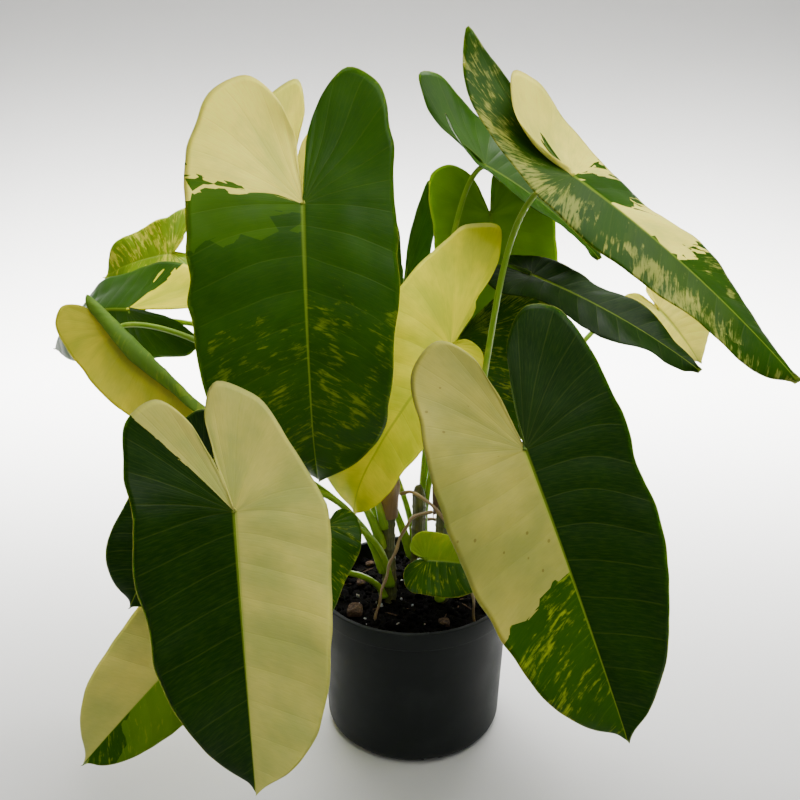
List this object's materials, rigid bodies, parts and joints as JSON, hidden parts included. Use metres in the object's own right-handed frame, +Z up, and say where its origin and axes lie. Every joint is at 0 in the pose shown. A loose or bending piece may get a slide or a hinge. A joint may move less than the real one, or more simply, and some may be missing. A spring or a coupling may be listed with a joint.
{
  "type": "potted philodendron",
  "caption": "Variegated philodendron with large arrow-shaped leaves on long stalks, growing in a plain round nursery pot of potting mix.",
  "frame": {"origin": "centre of the pot's flat underside, on the pot's axis", "axes": "+Z up along the pot's axis, -Y towards the plant's fuller side, +X to the right of someone who looks at that side"},
  "size_m": [0.5508, 0.3686, 0.519],
  "materials": {
    "bark_chip": "rough bark",
    "leaf": "living leaf, satin, variegated cream, yellow and green",
    "petiole": "smooth green leaf stalk, satin",
    "pot": "matt black moulded plastic",
    "potting_mix": "damp dark potting mix of bark and fibre",
    "root": "dry tan aerial root",
    "sheath": "dry papery brown sheath",
    "stem": "green stem with leaf scars"
  },
  "bodies": {
    "root": {"bark_chip_1": "bark_chip", "bark_chip_2": "bark_chip", "bark_chip_3": "bark_chip", "bark_chip_4": "bark_chip", "bark_chip_5": "bark_chip", "bark_chip_6": "bark_chip", "bark_chip_7": "bark_chip", "leaf_back": "leaf", "leaf_back_right": "leaf", "leaf_behind_centre": "leaf", "leaf_behind_front_left": "leaf", "leaf_behind_upper_right": "leaf", "leaf_centre": "leaf", "leaf_far_left": "leaf", "leaf_front_left": "leaf", "leaf_front_right": "leaf", "leaf_left": "leaf", "leaf_low_centre": "leaf", "leaf_low_left": "leaf", "leaf_right": "leaf", "leaf_right_rear": "leaf", "leaf_small_left": "leaf", "leaf_small_low": "leaf", "leaf_top": "leaf", "leaf_top_rear": "leaf", "leaf_upper_right": "leaf", "petiole_back": "petiole", "petiole_back_right": "petiole", "petiole_behind_centre": "petiole", "petiole_behind_front_left": "petiole", "petiole_behind_upper_right": "petiole", "petiole_centre": "petiole", "petiole_far_left": "petiole", "petiole_front_left": "petiole", "petiole_front_right": "petiole", "petiole_left": "petiole", "petiole_low_centre": "petiole", "petiole_low_left": "petiole", "petiole_right": "petiole", "petiole_right_rear": "petiole", "petiole_small_left": "petiole", "petiole_small_low": "petiole", "petiole_top": "petiole", "petiole_top_rear": "petiole", "petiole_upper_right": "petiole", "pot": "pot", "potting_mix": "potting_mix", "root_front": "root", "root_left": "root", "root_rear": "root", "sheath_left": "sheath", "sheath_right": "sheath", "stem_back": "stem", "stem_left": "stem", "stem_right": "stem"}
  },
  "joints": []
}
